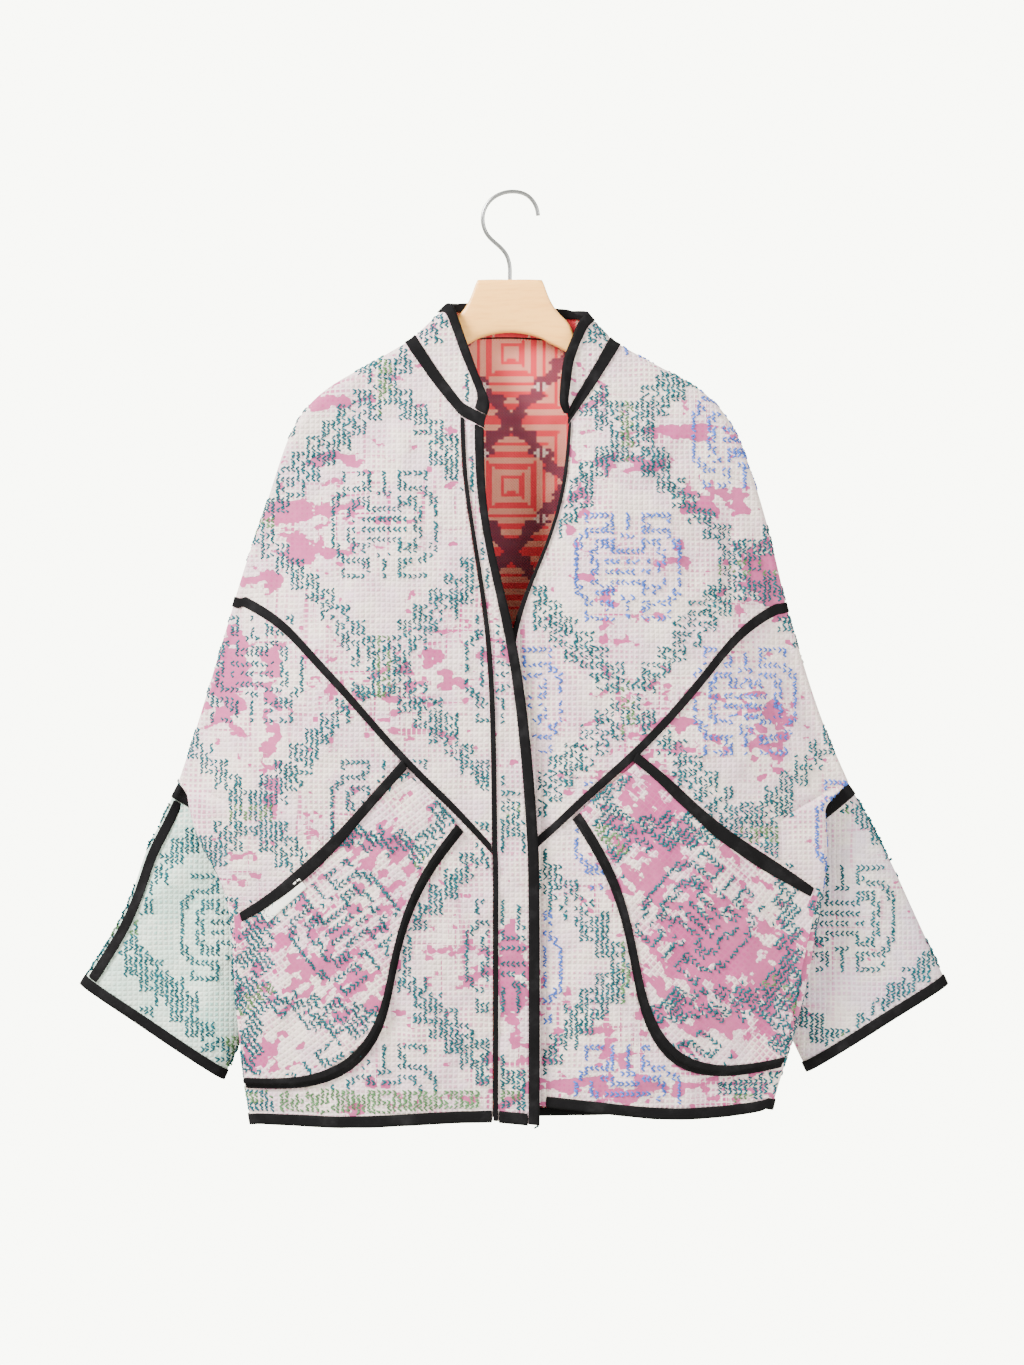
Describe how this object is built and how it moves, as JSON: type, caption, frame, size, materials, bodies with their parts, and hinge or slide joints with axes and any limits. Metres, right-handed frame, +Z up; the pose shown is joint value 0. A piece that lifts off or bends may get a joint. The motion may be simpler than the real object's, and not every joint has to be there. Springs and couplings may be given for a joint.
{
  "type": "quilted jacket on a hanger",
  "caption": "Open boxy quilted jacket with stand collar, batwing sleeves and curved pockets, edges bound in black tape, hanging on a wooden hanger.",
  "frame": {"origin": "inside top of the hanger's hook, where the hook rests on what holds it", "axes": "+Z up, the front of the jacket faces -Y, +X to the wearer's left"},
  "size_m": [0.7878, 0.0662, 0.8418],
  "materials": {
    "quilted_cloth": "hand-quilted cotton, matt",
    "bias_tape": "black cotton tape, matt",
    "tag_cloth": "woven blank tag",
    "hanger_wood": "clear-lacquered beech",
    "hook_metal": "satin wire"
  },
  "bodies": {
    "root": {"upper_front_right": "quilted_cloth", "upper_front_left": "quilted_cloth", "lower_front_right": "quilted_cloth", "lower_front_left": "quilted_cloth", "back_upper": "quilted_cloth", "back_lower": "quilted_cloth", "placket": "quilted_cloth", "collar": "quilted_cloth", "lower_sleeve_right": "quilted_cloth", "lower_sleeve_left": "quilted_cloth", "pocket_right": "quilted_cloth", "pocket_left": "quilted_cloth", "diagonal_tape_right": "bias_tape", "diagonal_tape_left": "bias_tape", "back_seam_tape": "bias_tape", "placket_seam_tape": "bias_tape", "placket_edge_tape": "bias_tape", "left_edge_tape": "bias_tape", "neck_tape": "bias_tape", "collar_tape": "bias_tape", "hem_tape_right": "bias_tape", "hem_tape_left": "bias_tape", "hem_tape_back": "bias_tape", "hem_tape_placket": "bias_tape", "pocket_opening_tape_right": "bias_tape", "pocket_curve_tape_right": "bias_tape", "pocket_opening_tape_left": "bias_tape", "pocket_curve_tape_left": "bias_tape", "sleeve_band_right": "bias_tape", "sleeve_band_left": "bias_tape", "cuff_tape_right": "bias_tape", "cuff_tape_left": "bias_tape", "sleeve_seam_tape_right": "bias_tape", "sleeve_seam_tape_left": "bias_tape", "blank_label": "tag_cloth", "hanger_wood": "hanger_wood", "hanger_hook": "hook_metal"}
  },
  "joints": []
}
